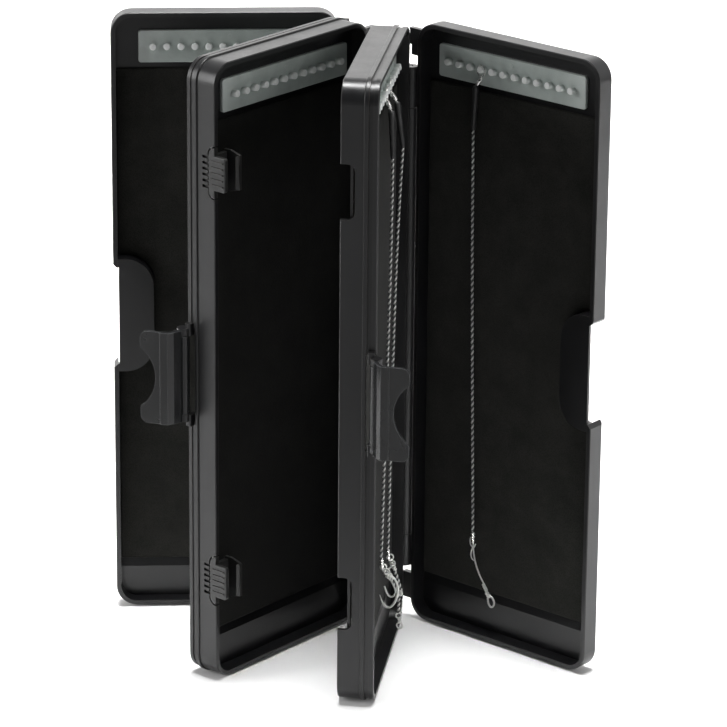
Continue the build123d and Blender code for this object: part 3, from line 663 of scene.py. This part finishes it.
# ---------------------------------------------------------------- foam pads
def pad(name, node, leaf, face, back, right=None, breaks=(), crease=None, seed=0.0):
    """A closed sheet of foam. face and back are its depths; right(z) is its edge towards the free wall."""
    u0, u1 = WALL + 0.3, W - WALL - 0.3
    zs = []
    marks = sorted([FOAM_Z0, FOAM_Z1, *breaks])
    for a, b in zip(marks, marks[1:]):
        n = max(3, round((b - a) / 3.0))
        e = min(0.02, (b - a) / 10)
        run = [a + e, a + 0.25, a + 0.55, a + 0.95] + [a + (b - a) * j / n for j in range(1, n)] + [b - 0.95, b - 0.55, b - 0.25, b - e]
        zs += [z for z in sorted(run) if a + e - 1e-6 <= z <= b - e + 1e-6]
    zs = sorted(set(round(z, 4) for z in zs))
    cols = [0.0, 0.25, 0.55, 0.95] + [None] * 38 + [-0.95, -0.55, -0.25, -0.0]
    sign = 1 if back > face else -1

    def edges(z):
        r = right(z) if right else u1
        cut = 0.0
        for e in (z - FOAM_Z0, FOAM_Z1 - z):
            if e < 1.2:
                cut = max(cut, 1.2 - math.sqrt(max(0.0, 1.44 - (1.2 - e) ** 2)))
        return u0 + cut, r - cut

    rows = []
    for z in zs:
        a, b = edges(z)
        us = []
        inner = b - a - 1.9
        for j, c in enumerate(cols):
            if j < 4:
                us.append(a + c)
            elif j >= len(cols) - 4:
                us.append(b + c)
            else:
                us.append(a + 0.95 + inner * (j - 3) / 39)
        rows.append((z, a, b, us))
    bm = bmesh.new()
    tops, lows = [], []
    for z, a, b, us in rows:
        tr, lr = [], []
        for u in us:
            e = min(u - a, b - u, z - FOAM_Z0, FOAM_Z1 - z)
            for br in breaks:
                if right and (right(z) - right(br + (0.5 if z < br else -0.5))) > 2.0 and u > right(br + (0.5 if z < br else -0.5)):
                    e = min(e, abs(z - br))
            e = max(0.0, e)
            drop = 0.42 * (1 - min(e, 0.95) / 0.95) ** 2.2
            drop += 0.10 * math.exp(-e / 4.0)
            v = Vector((u * 0.022 + seed, z * 0.022, seed * 1.7))
            drop += 0.10 * (0.5 + 0.5 * noise.noise(v)) + 0.03 * (0.5 + 0.5 * noise.noise(v * 5.0))
            if crease:
                (ua, za), (ub, zb) = crease
                zl = za + (zb - za) * (u - ua) / (ub - ua)
                drop += 0.22 * math.exp(-((z - zl) / 0.9) ** 2) * (1.0 if ua - 4 < u < ub + 4 else 0.0)
                drop += 0.10 * (1.0 if z < zl else 0.0) * (1 - math.exp(-abs(z - zl) / 1.2))
            tr.append(bm.verts.new(at(leaf, u, face + sign * drop, z)))
            lr.append(bm.verts.new(at(leaf, u, back, z)))
        tops.append(tr)
        lows.append(lr)
    nr, nc = len(tops), len(tops[0])
    for i in range(nr - 1):
        for j in range(nc - 1):
            bm.faces.new((tops[i][j], tops[i][j + 1], tops[i + 1][j + 1], tops[i + 1][j]))
            bm.faces.new((lows[i][j], lows[i + 1][j], lows[i + 1][j + 1], lows[i][j + 1]))
    for i in range(nr - 1):
        bm.faces.new((tops[i][0], tops[i + 1][0], lows[i + 1][0], lows[i][0]))
        bm.faces.new((tops[i][-1], lows[i][-1], lows[i + 1][-1], tops[i + 1][-1]))
    for j in range(nc - 1):
        bm.faces.new((tops[0][j], lows[0][j], lows[0][j + 1], tops[0][j + 1]))
        bm.faces.new((tops[-1][j], tops[-1][j + 1], lows[-1][j + 1], lows[-1][j]))
    # painted light and shade: the lighter foam copy goes on the lids, the darker copy on tray B
    ob = finish_mesh(name, bm, M_FOAM_LIDS_PAINTED_LIGHTER if name.startswith("lid") else M_FOAM_B_PAINTED_SHADE if name.startswith("tray_b") else M_FOAM, 60)
    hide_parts(node)
    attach(ob, BODY[leaf])
    return ob


def dee_edge(z):
    g = 2.0
    h, r, full = DEE_H + g, DEE_R + g, W - WALL - 0.3
    dz = abs(z - ZC)
    if dz >= h:
        return full
    inner = W - DEE_IN - g
    if dz > h - r:
        return inner + r - math.sqrt(max(0.0, r * r - (dz - (h - r)) ** 2))
    return inner


def notch_edge(z):
    for lz in LATCH_Z:
        if abs(z - lz) < 13.5:
            return W - 14.0
    return W - WALL - 0.3


dee_breaks = (ZC - DEE_H - 2.0, ZC - DEE_H + 3.0, ZC - DEE_H + 8.0, ZC + DEE_H - 8.0, ZC + DEE_H - 3.0, ZC + DEE_H + 2.0)
pad("lid_a_foam_v", "lid_a_foam", "A", LID_FLOOR - FOAM_T, LID_FLOOR, dee_edge, dee_breaks, None, 1.3)
pad("lid_d_foam_v", "lid_d_foam", "D", LID_FLOOR - FOAM_T, LID_FLOOR, dee_edge, dee_breaks, None, 4.1)
pad("tray_b_left_foam_v", "tray_b_left_foam", "B", SH_FLOOR - FOAM_T, SH_FLOOR, None, (), None, 7.7)
pad("tray_c_right_foam_v", "tray_c_right_foam", "C", SH_FLOOR - FOAM_T, SH_FLOOR, None, (), None, 10.2)
pad("tray_b_right_foam_v", "tray_b_right_foam", "B", DP_FLOOR + FOAM_T, DP_FLOOR, None, (), ((8.0, 267.0), (116.0, 258.0)), 13.9)
notch_breaks = tuple(v for lz in sorted(LATCH_Z) for v in (lz - 13.5, lz + 13.5))
pad("tray_c_left_foam_v", "tray_c_left_foam", "C", DP_FLOOR + FOAM_T, DP_FLOOR, notch_edge, notch_breaks, None, 17.4)


# ---------------------------------------------------------------- floor, world and lights
def stage_floor():
    bm = bmesh.new()
    s = 12.0
    vs = [bm.verts.new(p) for p in ((-s, -s, -0.0002), (s, -s, -0.0002), (s, s, -0.0002), (-s, s, -0.0002))]
    bm.faces.new(vs)
    m = Mat("floor_pale")
    m.set(Roughness=0.9, Specular_IOR_Level=0.1, Emission_Strength=0.03)
    m.b.inputs["Base Color"].default_value = (0.86, 0.86, 0.86, 1)
    m.b.inputs["Emission Color"].default_value = (1, 1, 1, 1)
    ob = finish_mesh("floor", bm, m.m, None)
    for f in ob.data.polygons:
        f.use_smooth = False


stage_floor()

world = bpy.data.worlds.new("studio")
scene.world = world
world.use_nodes = True
wt = world.node_tree
wt.nodes.clear()
w_out = wt.nodes.new("ShaderNodeOutputWorld")
w_bg = wt.nodes.new("ShaderNodeBackground")
w_co = wt.nodes.new("ShaderNodeTexCoord")
w_sep = wt.nodes.new("ShaderNodeSeparateXYZ")
w_map = wt.nodes.new("ShaderNodeMapRange")
for i, v in zip(("From Min", "From Max", "To Min", "To Max"), (-1.0, 1.0, 0.0, 1.0)):
    w_map.inputs[i].default_value = v
w_ramp = wt.nodes.new("ShaderNodeValToRGB")
els = w_ramp.color_ramp.elements
for i, (pos, v) in enumerate(((0.0, 0.010), (0.10, 0.015), (0.30, 0.04), (0.50, 0.14), (0.75, 0.60), (1.0, 0.95))):
    e = els[i] if i < 2 else els.new(pos)
    e.position = pos
    e.color = (v, v, v, 1.0)
w_gain = wt.nodes.new("ShaderNodeMath")
w_gain.operation = "MULTIPLY"
w_gain.inputs[1].default_value = 2.1
wt.links.new(w_co.outputs["Generated"], w_sep.inputs[0])
wt.links.new(w_sep.outputs["Y"], w_map.inputs["Value"])
wt.links.new(w_map.outputs[0], w_ramp.inputs["Fac"])
wt.links.new(w_ramp.outputs["Color"], w_gain.inputs[0])
w_low = wt.nodes.new("ShaderNodeMapRange")
w_low.interpolation_type = "SMOOTHSTEP"
for i, v in zip(("From Min", "From Max", "To Min", "To Max"), (0.40, 0.80, 1.0, 0.15)):
    w_low.inputs[i].default_value = v
w_mul = wt.nodes.new("ShaderNodeMath")
w_mul.operation = "MULTIPLY"
wt.links.new(w_sep.outputs["Z"], w_low.inputs["Value"])
wt.links.new(w_gain.outputs[0], w_mul.inputs[0])
wt.links.new(w_low.outputs[0], w_mul.inputs[1])
wt.links.new(w_mul.outputs[0], w_bg.inputs["Strength"])
w_bg.inputs["Color"].default_value = (1.0, 0.995, 0.985, 1)
wt.links.new(w_bg.outputs[0], w_out.inputs[0])


def area(name, loc, target, size, power, color=(1, 1, 1), spread=180.0):
    ld = bpy.data.lights.new(name, "AREA")
    ld.shape = "RECTANGLE"
    ld.size, ld.size_y = size
    ld.energy = power
    ld.color = color
    ld.spread = math.radians(spread)
    ob = bpy.data.objects.new(name, ld)
    scene.collection.objects.link(ob)
    ob.location = loc
    ob.rotation_euler = (Vector(target) - Vector(loc)).to_track_quat("-Z", "Y").to_euler()
    return ob


area("soft_top", (0.1, 0.86, 1.35), (0.1, 0.86, 0.0), (2.3, 2.0), 34, spread=30.0)
area("soft_left", (-1.9, -0.75, 0.9), (0, 0, 0.15), (0.8, 1.3), 24)
area("soft_right", (1.8, -0.85, 0.8), (0, 0, 0.15), (0.6, 1.3), 11)

scene.view_settings.view_transform = "Standard"
scene.view_settings.look = "None"
scene.view_settings.exposure = 0.0
scene.view_settings.gamma = 1.0
